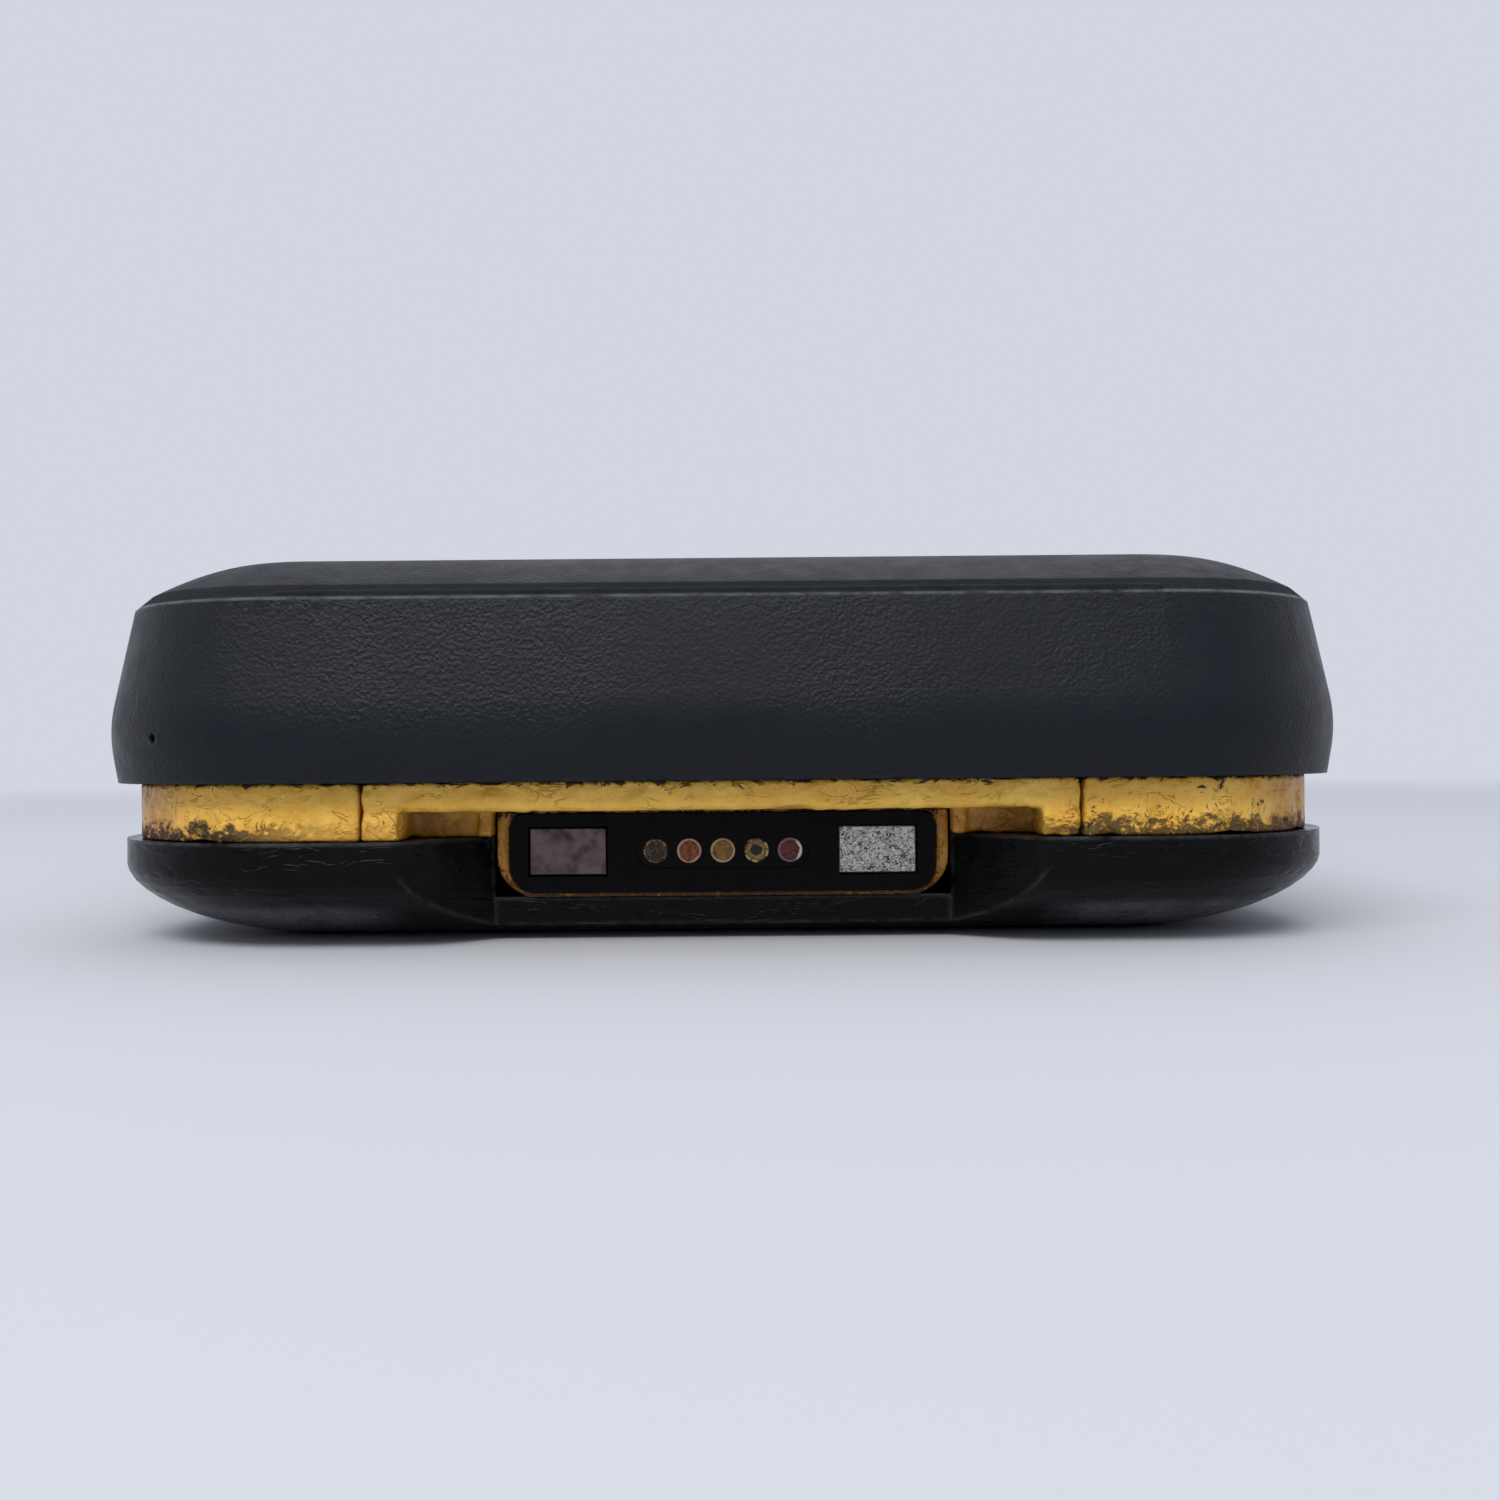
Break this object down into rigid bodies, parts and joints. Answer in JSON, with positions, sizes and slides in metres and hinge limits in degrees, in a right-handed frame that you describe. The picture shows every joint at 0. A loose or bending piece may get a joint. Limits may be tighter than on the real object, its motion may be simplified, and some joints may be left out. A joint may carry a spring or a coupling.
{
  "type": "handheld two-way radio",
  "caption": "Rugged handheld two-way radio with a dock end, push-to-talk button, front keys, turning knobs, stub antenna and screwed rear cover.",
  "frame": {"origin": "centre of the overall box in X and Y, at the lowest plane, which is the rear face", "axes": "+X to the right seen from the dock end with the front face up, +Y from the dock end to the antenna, +Z out of the front face"},
  "size_m": [0.082, 0.196, 0.0254],
  "materials": {
    "shell": "textured black plastic and rubber skin, satin",
    "bumper": "smooth black rubber, low sheen",
    "cover": "fine textured black plastic",
    "band": "yellow plastic, scuffed",
    "surround": "yellow plastic, scuffed",
    "connector": "black moulded plastic",
    "contact": "gold plated, worn",
    "catch": "brushed steel, pitted",
    "chassis": "die cast",
    "board": "solder mask",
    "shield": "tin plated",
    "lens": "smoked clear window",
    "display": "liquid crystal module",
    "seal": "silicone",
    "grille": "black painted metal",
    "speaker": "paper cone and steel frame",
    "key": "dark grey rubber key",
    "call_key": "yellow rubber key",
    "ptt": "yellow rubber button",
    "emergency": "orange plastic",
    "knob": "black rubber knob",
    "shaft": "turned steel",
    "switch": "moulded switch body",
    "dome": "pressed steel dome",
    "antenna": "moulded rubber",
    "brass": "turned brass",
    "screw": "blackened steel",
    "battery": "wrapped cell pack",
    "light": "clear light pipe",
    "flex": "polyimide film"
  },
  "bodies": {
    "root": {"antenna": "antenna", "antenna_socket": "brass", "band_centre": "band", "band_corner_left": "band", "band_corner_right": "band", "band_side_left": "band", "band_side_right": "band", "band_top_left": "band", "band_top_right": "band", "battery_contacts": "contact", "battery_door": "cover", "battery_pack": "battery", "catch_plate_left": "catch", "catch_plate_right": "catch", "channel_encoder": "switch", "chassis": "chassis", "clip_inserts": "brass", "display_gasket": "seal", "display_lens": "lens", "display_module": "display", "dock_connector": "connector", "dock_contact_1": "contact", "dock_contact_2": "contact", "dock_contact_3": "contact", "dock_contact_4": "contact", "dock_contact_5": "contact", "dock_flex": "flex", "dock_surround": "surround", "emergency_switch": "switch", "front_shell": "shell", "housing_inserts": "brass", "housing_screws": "screw", "housing_seal": "seal", "key_domes": "dome", "main_board": "board", "microphone": "seal", "ptt_switch": "switch", "rear_bumper": "bumper", "rear_cover": "cover", "rf_shield": "shield", "side_switches": "switch", "speaker": "speaker", "speaker_grille": "grille", "status_light": "light", "volume_encoder": "switch"},
    "lock": {"door_lock": "shaft"},
    "call_key": {"key_call": "call_key"},
    "menu_key": {"key_menu": "key"},
    "up_key": {"key_up": "key"},
    "down_key": {"key_down": "key"},
    "ptt": {"ptt_button": "ptt"},
    "upper_side_button": {"side_button_upper": "key"},
    "lower_side_button": {"side_button_lower": "key"},
    "channel": {"channel_knob": "knob", "channel_shaft": "shaft"},
    "volume": {"volume_knob": "knob", "volume_shaft": "shaft"},
    "emergency": {"emergency_button": "emergency"}
  },
  "joints": [
    {"name": "call_key_press", "type": "slide", "parent": "root", "child": "call_key", "axis": [0, 0, -1], "range_m": [0, 0.0007], "stiffness_N_per_m": 1500, "springref_m": -0.0008},
    {"name": "menu_key_press", "type": "slide", "parent": "root", "child": "menu_key", "axis": [0, 0, -1], "range_m": [0, 0.0007], "stiffness_N_per_m": 1500, "springref_m": -0.0008},
    {"name": "up_key_press", "type": "slide", "parent": "root", "child": "up_key", "axis": [0, 0, -1], "range_m": [0, 0.0007], "stiffness_N_per_m": 1500, "springref_m": -0.0008},
    {"name": "down_key_press", "type": "slide", "parent": "root", "child": "down_key", "axis": [0, 0, -1], "range_m": [0, 0.0007], "stiffness_N_per_m": 1500, "springref_m": -0.0008},
    {"name": "ptt_press", "type": "slide", "parent": "root", "child": "ptt", "axis": [1, 0, 0], "range_m": [0, 0.0011], "stiffness_N_per_m": 2500, "springref_m": -0.0008},
    {"name": "upper_side_press", "type": "slide", "parent": "root", "child": "upper_side_button", "axis": [1, 0, 0], "range_m": [0, 0.0011], "stiffness_N_per_m": 1500, "springref_m": -0.0008},
    {"name": "lower_side_press", "type": "slide", "parent": "root", "child": "lower_side_button", "axis": [1, 0, 0], "range_m": [0, 0.0011], "stiffness_N_per_m": 1500, "springref_m": -0.0008},
    {"name": "emergency_press", "type": "slide", "parent": "root", "child": "emergency", "axis": [0, -1, 0], "range_m": [0, 0.0012], "stiffness_N_per_m": 2000, "springref_m": -0.0008},
    {"name": "channel_turn", "type": "hinge", "parent": "root", "child": "channel", "pos_m": [-0.0078, 0.054, 0.0165], "axis": [0, 1, 0], "range_deg": [-165, 165]},
    {"name": "volume_turn", "type": "hinge", "parent": "root", "child": "volume", "pos_m": [0.0086, 0.054, 0.0165], "axis": [0, 1, 0], "range_deg": [0, 270]},
    {"name": "door_lock_turn", "type": "hinge", "parent": "root", "child": "lock", "pos_m": [0, -0.061, 0], "axis": [0, 0, 1], "range_deg": [0, 90]}
  ]
}
